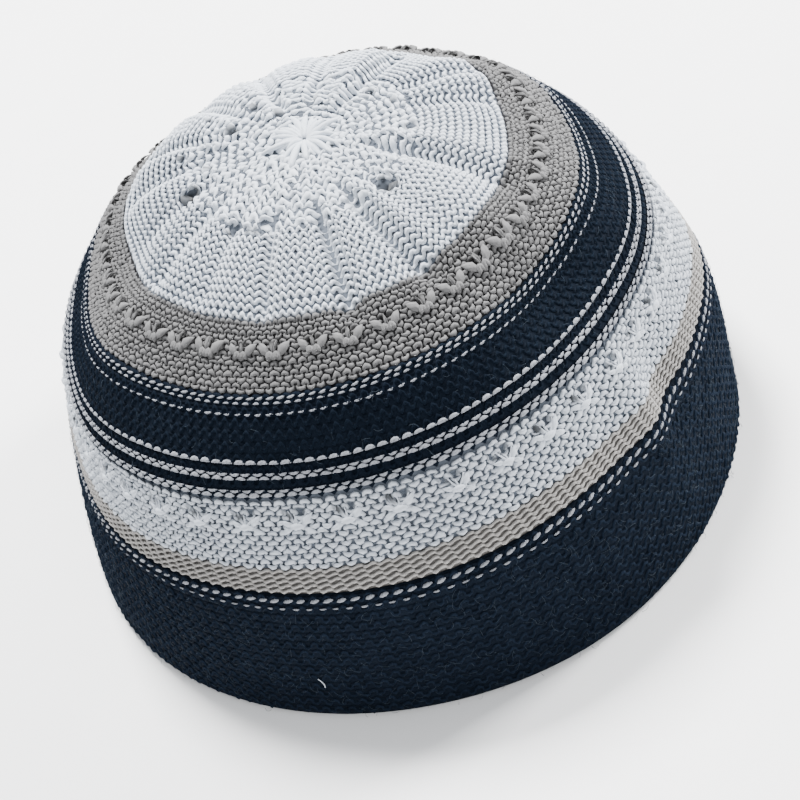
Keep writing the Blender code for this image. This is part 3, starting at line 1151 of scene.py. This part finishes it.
# %% Gather
PLEATS = 34
HUB = 0.0006
SHORTEST_PLEAT = 0.0050
LONGEST_PLEAT = 0.0125
THINNEST_PLEAT = 0.0012
THICKEST_PLEAT = 0.0019
PLEAT_SWAY = 0.0005
PLEAT_LIFT = 0.0001
PLEAT_ARCH = 0.0003
PLEAT_SINK = 0.0012
CENTRE_GAP = 0.0004


def pleat(across, reach, thick, draw):
    """One drawn loop: a strand from near the centre outwards, fat in its middle."""
    t = np.linspace(-0.1, 1.1, 10)
    station = HUB + (reach - HUB) * t
    aside = PLEAT_SWAY * draw.uniform(-1, 1) * np.sin(np.pi * t)
    lift = PLEAT_LIFT + PLEAT_ARCH * draw.uniform(-1, 1)
    over = lift + PLEAT_ARCH * np.sin(np.pi * np.clip(t, 0, 1)) - PLEAT_SINK * t**2
    path = np.stack([aside, -station, over], axis=1)
    body = 0.45 + 0.55 * np.sin(np.pi * np.clip(t[1:-1], 0.0, 0.9))
    points, faces, uv = tube(path, np.outer(thick / 2 * body, (1.0, 1.0)), 6, capped=True)
    distance = np.maximum(-points[:, 1], CENTRE_GAP)
    points[:, 0] = across + points[:, 0] / (2 * np.pi * distance)
    points[:, 1] = 1 - distance / RIM
    return points, faces, uv


def pleats():
    """All the drawn loops, of uneven lengths, round the crown's centre."""
    draw = np.random.default_rng(31)
    return [pleat((number + 0.25 * draw.uniform(-1, 1)) / PLEATS,
                  draw.uniform(SHORTEST_PLEAT, LONGEST_PLEAT),
                  draw.uniform(THINNEST_PLEAT, THICKEST_PLEAT), draw) for number in range(PLEATS)]


lay("crown_gather", joined(pleats()), WHITE, "crown", wobble=0.0004, size=0.003, seed=3.0)

# %% [markdown]
# ## The taupe band
# The taupe courses are wide and open, because the cap grows here. Each loop is a wide round arch on a
# narrow neck, so the gaps between them draw a net. A bump map could draw it too, but its gaps would
# have no depth from the side.

# %% Taupe courses
TAUPE_COURSE = 0.00246
TAUPE_WALE = perimeter(STATION["butterflies"]) / WALES
taupe_stitch = purl_stitch("taupe_stitch", TAUPE_WALE, TAUPE_COURSE, yarn=0.00080, rise=0.34,
                           bulge=0.19, leg_dip=0.00050, bead=0.38, arch=0.13, samples=12)
taupe_rows = even_rows(STATION["crown_edge"], STATION["taupe_foot"], TAUPE_COURSE)
knit("taupe_courses", taupe_rows, taupe_stitch, TAUPE, "taupe_band", wobble=0.0014, size=0.0019,
     seed=4.0)

# %% [markdown]
# ## The taupe butterflies
# In the middle of the band runs a row of butterfly stitches: long floats are picked up later and tied
# in one knot, so two satin petals open above a pair of round loops, with small holes beside them. The
# parts of one knot are rows of two tables, and the knitting tree copies it on every fourth wale, each
# copy a little larger, smaller, higher or lower than the next.

# %% Taupe butterflies
KNOT_HEIGHT = 0.008
TAUPE_PETALS = (
    # start, end, width, thickness
    ((-0.0011, -0.0004, -0.0002), (-0.0037, 0.0029, -0.0003), 0.0024, 0.0010),
    ((0.0011, -0.0004, -0.0002), (0.0039, 0.0029, -0.0003), 0.0024, 0.0010),
    ((-0.0002, 0.0002, 0.0001), (-0.0004, 0.0034, -0.0002), 0.0006, 0.0006),
    ((0.0002, 0.0002, 0.0001), (0.0005, 0.0034, -0.0002), 0.0006, 0.0006),
)
TAUPE_LOOPS = (
    # middle, width, height, thickness
    ((-0.00078, -0.0006, 0.0001), 0.0009, 0.0014, 0.0012),
    ((0.00082, -0.0006, 0.0001), 0.0009, 0.0014, 0.0012),
)


def petal(start, end, width, thick, sides=6):
    """A pointed petal of parallel yarn from one point to another."""
    start, end = np.array(start), np.array(end)
    t = np.array([-0.1, 0.0, 0.15, 0.4, 0.7, 0.9, 1.0, 1.1])
    path = start + (end - start) * t[:, None]
    path[:, 2] += thick * 0.6 * np.sin(np.pi * np.clip(t, 0, 1))
    body = np.sin(np.pi * np.clip(t[1:-1], 0.04, 0.97)**0.8)
    return tube(path, np.stack([width / 2 * body, thick / 2 * body], axis=1), sides, capped=True)


def loop_knot(middle, width, tall, thick, sides=6):
    """One round loop of yarn, fat and nearly closed."""
    t = np.linspace(-0.62, 0.62, 9) * 2 * np.pi * 0.8
    path = np.stack([middle[0] + width / 2 * np.sin(t), middle[1] + tall / 2 * np.cos(t),
                     middle[2] + 0.0002 * np.cos(t)], axis=1)
    return tube(path, thick / 2, sides, capped=True)


def butterfly_rows(station, draw):
    """A chart with one butterfly for every four wales, none quite like its neighbour."""
    rows = []
    for number in range(BUTTERFLIES):
        across = (number + BUTTERFLY_START + 0.05 * draw.uniform(-1, 1)) / BUTTERFLIES
        grown = draw.uniform(0.9, 1.08)
        rows.append((across, 1 - (station + 0.0002 * draw.uniform(-1, 1)) / RIM,
                     grown / BUTTERFLIES, grown * KNOT_HEIGHT / RIM, draw.uniform(0.8, 1.1)))
    return rows


def butterflies(name, parts, wale, station, yarn, node, seed):
    """A row of one drawn knot all the way round the cap."""
    knot = drawn_stitch(name + "_knot", parts, (4 * wale, KNOT_HEIGHT))
    knit(name, butterfly_rows(station, UNEVEN), knot, yarn, node, wobble=0.0002, size=0.002, seed=seed)


UNEVEN = np.random.default_rng(7)
taupe_parts = [petal(*row) for row in TAUPE_PETALS] + [loop_knot(*row) for row in TAUPE_LOOPS]
butterflies("taupe_butterflies", taupe_parts, TAUPE_WALE, TAUPE_KNOTS, TAUPE, "taupe_band", 6.0)

# %% [markdown]
# ## The navy band
# The navy is knitted like the taupe, with plainer loops, and its yarn is so dark that they show only
# as a soft grain. So their waves can have few points, which saves many triangles.

# %% Navy courses
NAVY_COURSE = 0.00246
NAVY_WALE = 0.0026
NAVY_FOOT = STATION["dash_low"] + 0.0014
navy_stitch = purl_stitch("navy_stitch", NAVY_WALE, NAVY_COURSE, yarn=0.00080, rise=0.31, bulge=0.08,
                          leg_dip=0.00015, bead=0.40, samples=6)
navy_rows = even_rows(STATION["taupe_foot"], NAVY_FOOT, NAVY_COURSE)
knit("navy_courses", navy_rows, navy_stitch, NAVY, "navy_band", wobble=0.0003, size=0.0022, seed=8.0)

# %% [markdown]
# ## The light dashes
# The navy courses carry single and double rows of light dashes. A dash is the part of a light stitch
# that shows between two dark ones. A double row is one light course seen twice: the heads of its
# stitches below, and the sinkers half a wale along above them. Only what shows is drawn, a short fat
# dash for each, and each row of the table is one row on the cap.

# %% Dashes
DASH_HEIGHT = 0.00125
DASH_LIFT = -0.0002
DASH_ROWS = (
    # name, station in millimetres, shift in wales, width, height, bend, slant in millimetres
    ("dashes_a_high", 73.7, 0.55, 1.90, 0.62, -0.10, 0.22),
    ("dashes_a_low", 74.9, 0.20, 1.75, 0.55, 0.10, 0.05),
    ("dashes_b", 77.2, 0.35, 1.75, 0.52, -0.10, 0.10),
    ("dashes_c", 87.8, 0.20, 2.45, 1.00, 0.36, 0.05),
    ("dashes_d_high", 90.0, 0.70, 2.30, 0.75, -0.26, 0.05),
    ("dashes_d_low", 91.2, 0.20, 2.50, 0.95, 0.28, 0.05),
    ("dashes_e_high", 93.7, 0.70, 2.30, 0.75, -0.26, 0.05),
    ("dashes_e_low", 94.9, 0.20, 2.55, 1.15, 0.22, 0.05),
    ("dashes_f", 118.6, 0.10, 2.30, 1.00, 0.02, 0.28),
    ("dashes_g", 120.6, 0.55, 1.70, 0.55, -0.12, 0.05),
)


def dash_course(station, shift, draw):
    """A chart of one course of dashes, a little uneven."""
    rows = []
    for wale in range(WALES):
        across = (wale + shift + 0.05 * draw.uniform(-1, 1)) / WALES
        rows.append((across, 1 - station / RIM, draw.uniform(0.9, 1.05) / WALES,
                     draw.uniform(0.85, 1.1) * DASH_HEIGHT / RIM, 1.0))
    return rows


for name, station, shift, *sizes in DASH_ROWS:
    station *= MM
    node = "cuff" if station > STATION["cuff_top"] else "navy_band"
    dash = dash_stitch(name + "_dash", perimeter(station) / WALES, DASH_HEIGHT,
                       *(size * MM for size in sizes), DASH_LIFT)
    knit(name, dash_course(station, shift, UNEVEN), dash, DASH, node, wobble=0.00025, size=0.004, seed=9.0)

# %% [markdown]
# ## The white band
# The lower white band is the same net as the taupe one, in a slightly thicker yarn. It could share
# the taupe's stitch, but its cells are wider and lower, so it has a stitch of its own.

# %% White courses
WHITE_COURSE = 0.00225
WHITE_TOP = STATION["dash_low"] + 0.0016
WHITE_WALE = perimeter(STATION["white_knots"]) / WALES
white_stitch = purl_stitch("white_stitch", WHITE_WALE, WHITE_COURSE, yarn=0.00084, rise=0.34,
                           bulge=0.19, leg_dip=0.00045, bead=0.42, arch=0.13, samples=12)
white_rows = even_rows(WHITE_TOP, STATION["stripe_top"], WHITE_COURSE)
knit("white_courses", white_rows, white_stitch, WHITE_BAND, "white_band", wobble=0.0013, size=0.0019,
     seed=11.0)

# %% [markdown]
# ## The white butterflies
# The second row of butterflies is knitted smaller. Here the floats lie flat, so what shows is a bright
# smooth knot with a slanted slit to its left and a round hole to its right, and thin strands that fan
# out of it. The holes come from the wrap, so only the knot and its strands are drawn.

# %% White butterflies
STRAND = 0.00028
WHITE_PETALS = (
    # start, end, width, thickness
    ((-0.0020, -0.0001, -0.0002), (0.0020, -0.0001, -0.0002), 0.0018, 0.0010),
    ((-0.0009, 0.0000, -0.0004), (-0.0040, 0.0012, -0.0006), 0.0015, 0.0008),
    ((0.0009, 0.0000, -0.0004), (0.0038, 0.0026, -0.0006), 0.0019, 0.0008),
    ((-0.0012, -0.0004, -0.0005), (-0.0044, -0.0016, -0.0008), 0.0014, 0.0008),
    ((0.0012, -0.0004, -0.0005), (0.0042, -0.0018, -0.0008), 0.0014, 0.0008),
)
WHITE_STRANDS = (
    # reach, rise, bow
    (-0.0024, 0.0034, 0.0002),
    (-0.0003, 0.0028, 0.0),
    (0.0024, 0.0030, 0.0003),
)


def fan_strand(reach, rise, bow):
    """A thin strand that curves from the knot up and outwards."""
    t = np.linspace(-0.1, 1.1, 8)
    path = np.stack([reach * t, rise * t - bow * np.sin(np.pi * np.clip(t, 0, 1)),
                     0.0001 - 0.0004 * t], axis=1)
    return tube(path, STRAND, 5, capped=True)


white_parts = [petal(*row) for row in WHITE_PETALS] + [fan_strand(*row) for row in WHITE_STRANDS]
butterflies("white_butterflies", white_parts, WHITE_WALE, WHITE_KNOTS, WHITE_BAND, "white_band", 12.0)

# %% [markdown]
# ## The taupe stripe
# Five narrow taupe courses close the pattern. Their stitches lie close and nearly flat, so a low wave
# with hardly any bulge is enough. They lean a little, because the tube is knitted as a spiral, and
# their lower edge hangs in scallops over the navy.

# %% Taupe stripe
STRIPE_COURSE = 0.00115
STRIPE_FOOT = STATION["cuff_top"] - 0.0004
stripe_stitch = purl_stitch("stripe_stitch", WHITE_WALE, STRIPE_COURSE, yarn=0.00072, rise=0.24,
                            bulge=0.02, leg_dip=0.0003, bead=0.15, lean=0.05)
stripe_rows = even_rows(STATION["stripe_top"], STRIPE_FOOT, STRIPE_COURSE, lean=0.12)
knit("stripe_courses", stripe_rows, stripe_stitch, STRIPE, "taupe_stripe", wobble=0.0003, size=0.0022,
     seed=13.0)

# %% [markdown]
# ## The cuff
# The deep cuff is plain navy, brushed by wear until its stitches are only a soft grain. A bump on a
# smooth wall would give that grain too, but it would leave the cuff's outline smooth. So the courses
# are real waves, with few points each, because there are thousands.

# %% Cuff
CUFF_COURSE = 0.00250
CUFF_WALE = perimeter(RIM) / WALES
cuff_stitch = purl_stitch("cuff_stitch", CUFF_WALE, CUFF_COURSE, yarn=0.00086, rise=0.31, bulge=0.08,
                          leg_dip=0.00008, bead=0.40, samples=6)
cuff_rows = even_rows(STATION["cuff_top"], RIM - RIM_ROUND, CUFF_COURSE)
knit("cuff_courses", cuff_rows, cuff_stitch, CUFF, "cuff", wobble=0.0009, size=0.0017, seed=15.0)

# %% [markdown]
# ## Stray fibres
# Brushed knit has light fibres that stand a little off it. Blender's hair would be a natural way, but
# other programs can't read it, so each fibre is a thin bent tube of three sides.

# %% Stray fibres
CUFF_FIBRES = 2300
NAVY_FIBRES = 350
SHORTEST_FIBRE = 0.0012
LONGEST_FIBRE = 0.0036
THINNEST_FIBRE = 0.000022
THICKEST_FIBRE = 0.00004
FIBRE_LIFT = 0.00005


def fibre(top, foot, draw):
    """One hair that lies on the knit in a loose curve."""
    turn, bend = draw.uniform(0, 2 * np.pi), draw.uniform(-1.6, 1.6)
    step = draw.uniform(SHORTEST_FIBRE, LONGEST_FIBRE) / 5
    t = np.linspace(-0.2, 1.2, 7)
    heading = turn + bend * t
    middle = np.array([draw.uniform(0, perimeter(RIM)), draw.uniform(top, foot)])
    xy = middle + np.cumsum(np.stack([np.cos(heading), np.sin(heading)], axis=1) * step, axis=0)
    lift = draw.uniform(0.0001, 0.0005) * np.sin(np.pi * np.clip(t, 0, 1)) + FIBRE_LIFT
    path = np.stack([xy[:, 0], xy[:, 1], lift], axis=1)
    return tube(path, draw.uniform(THINNEST_FIBRE, THICKEST_FIBRE), 3, capped=True)


def stray_fibres(name, top, foot, count, node, seed):
    """Hairs strewn over a band of the cap."""
    draw = np.random.default_rng(seed)
    points, faces, uv = joined([fibre(top, foot, draw) for _ in range(count)])
    points[:, 0] /= perimeter(RIM)
    points[:, 1] = 1 - points[:, 1] / RIM
    lay(name, (points, faces, uv), FIBRE, node)


stray_fibres("cuff_fibres", STATION["cuff_top"] + 0.004, RIM - RIM_ROUND, CUFF_FIBRES, "cuff", 21)
stray_fibres("navy_fibres", STATION["taupe_foot"], STATION["dash_low"], NAVY_FIBRES, "navy_band", 22)

# %% [markdown]
# ## One white thread
# A short end of white yarn clings to the front of the cuff, low on the left. It is one more tube,
# drawn in metres and then set at its place on the chart.

# %% White thread
THREAD_ANGLE = 244.5
THREAD_STATION = RIM - 0.0127
THREAD_RADIUS = 0.00012


def white_thread():
    """A short curved thread, drawn on the chart at its place on the cuff."""
    t = np.linspace(-0.15, 1.15, 10)
    path = np.stack([0.0010 * t + 0.0004 * np.sin(np.pi * t), -0.0026 * t, 0.0003 + 0 * t], axis=1)
    points, faces, uv = tube(path, THREAD_RADIUS, 5, capped=True)
    points[:, 0] = share_at(THREAD_ANGLE) + points[:, 0] / perimeter(RIM)
    points[:, 1] = 1 - (THREAD_STATION - points[:, 1]) / RIM
    return points, faces, uv


lay("white_thread", white_thread(), WHITE, "cuff")

# %% [markdown]
# ## The camera
# The camera looks down from in front, turned a little on its axis, as a hand holds it. It could be
# placed by eye, but the place, the turn and the long lens were worked out from the cap's outline.

# %% Camera
CAMERA_ELEVATION = math.radians(35.3)
CAMERA_ROLL = math.radians(-19.8)
CAMERA_DISTANCE = 0.650
PHOTO_SIZE = 800
FOCAL_PIXELS = 2560
AIM_PIXEL = (408, 447)
SENSOR = 36.0


def make_camera():
    """A camera whose axis goes through the middle of the picture."""
    level = np.array([1.0, 0.0, 0.0])
    back = np.array([0.0, -math.cos(CAMERA_ELEVATION), math.sin(CAMERA_ELEVATION)])
    over = np.array([0.0, math.sin(CAMERA_ELEVATION), math.cos(CAMERA_ELEVATION)])
    right = math.cos(CAMERA_ROLL) * level + math.sin(CAMERA_ROLL) * over
    up = -math.sin(CAMERA_ROLL) * level + math.cos(CAMERA_ROLL) * over
    aside = (PHOTO_SIZE / 2 - AIM_PIXEL[0]) / FOCAL_PIXELS
    above = (AIM_PIXEL[1] - PHOTO_SIZE / 2) / FOCAL_PIXELS
    ahead = Vector(-back + right * aside + up * above).normalized()
    side = ahead.cross(Vector(up)).normalized()
    data = bpy.data.cameras.new("camera")
    data.sensor_width = SENSOR
    data.lens = FOCAL_PIXELS / PHOTO_SIZE * SENSOR
    camera = bpy.data.objects.new("camera", data)
    turned = Matrix((side, side.cross(ahead), -ahead)).transposed().to_4x4()
    camera.matrix_world = Matrix.Translation(Vector(back * CAMERA_DISTANCE - MIDDLE)) @ turned
    bpy.context.scene.collection.objects.link(camera)
    bpy.context.scene.camera = camera
    return camera


print("lens in mm:", round(make_camera().data.lens, 1))

# %% [markdown]
# ## Floor and light
# The cap stands on a pale floor under an even sky, which lights every side softly. A strong light high
# behind it rakes over the folds and stitches, one from the right picks out that flank, and a weak one
# from the front fills the shadows. A wide light would be softer, but knit looks flat without shadows.

# %% Floor and light
FLOOR_HALF = 3.0
LIGHT_AIM = (0, 0, 0.04)
LIGHTS = (
    # name, place, size in metres, power in watts
    ("behind", (-0.12, 0.62, 1.20), 0.45, 74.0),
    ("right", (1.00, 0.35, 0.60), 0.35, 36.0),
    ("front", (0.1, -1.1, 0.7), 0.9, 9.0),
)
SKY_COLOUR = (0.93, 0.96, 1.0, 1.0)
SKY_STRENGTH = 0.88


def area_light(name, spot, size, power):
    """A square light that shines on the cap."""
    data = bpy.data.lights.new(name, "AREA")
    data.size = size
    data.energy = power
    light = bpy.data.objects.new(name, data)
    light.location = spot
    light.rotation_euler = (Vector(LIGHT_AIM) - Vector(spot)).to_track_quat("-Z", "Y").to_euler()
    bpy.context.scene.collection.objects.link(light)


def floor():
    """A wide pale floor just under the rim."""
    corners = [(FLOOR_HALF * x, FLOOR_HALF * y, 0) for x, y in ((-1, -1), (1, -1), (1, 1), (-1, 1))]
    made = new_object("floor", corners, [(0, 1, 2, 3)])
    material = bpy.data.materials.new("pale_floor")
    material.use_nodes = True
    tree = material.node_tree
    shader = tree.nodes["Principled BSDF"]
    shader.inputs["Roughness"].default_value = 0.9
    grain = noise(tree, add(tree, "ShaderNodeTexCoord").outputs["Object"], 60.0, 3.0)
    pale = mixed_colours(tree, grain, (0.90, 0.90, 0.90, 1.0), (0.94, 0.94, 0.94, 1.0))
    tree.links.new(pale, shader.inputs["Base Color"])
    made.data.materials.append(material)
    made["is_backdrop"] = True


def sky():
    """An even, slightly cool light from everywhere."""
    world = bpy.data.worlds.new("sky")
    bpy.context.scene.world = world
    world.use_nodes = True
    background = world.node_tree.nodes["Background"].inputs
    background["Color"].default_value = SKY_COLOUR
    background["Strength"].default_value = SKY_STRENGTH


floor()
sky()
for row in LIGHTS:
    area_light(*row)
print("lights:", [row[0] for row in LIGHTS])

# %% [markdown]
# ## Tidying up
# The cap sheet and the eyelet points were only tools, so they go. The last lines put the box of the model
# and the box of what was built side by side, and print the size of what was built.

for helper in (CAP, EYELET_HOLDER):
    bpy.data.objects.remove(helper)
low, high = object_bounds()
sizes = {"cad": [list(map(float, cad_low)), list(map(float, cad_high))],
         "visual": [list(map(float, low)), list(map(float, high))]}
print("box built in mm:", np.round((np.array(high) - np.array(low)) * 1000, 1))
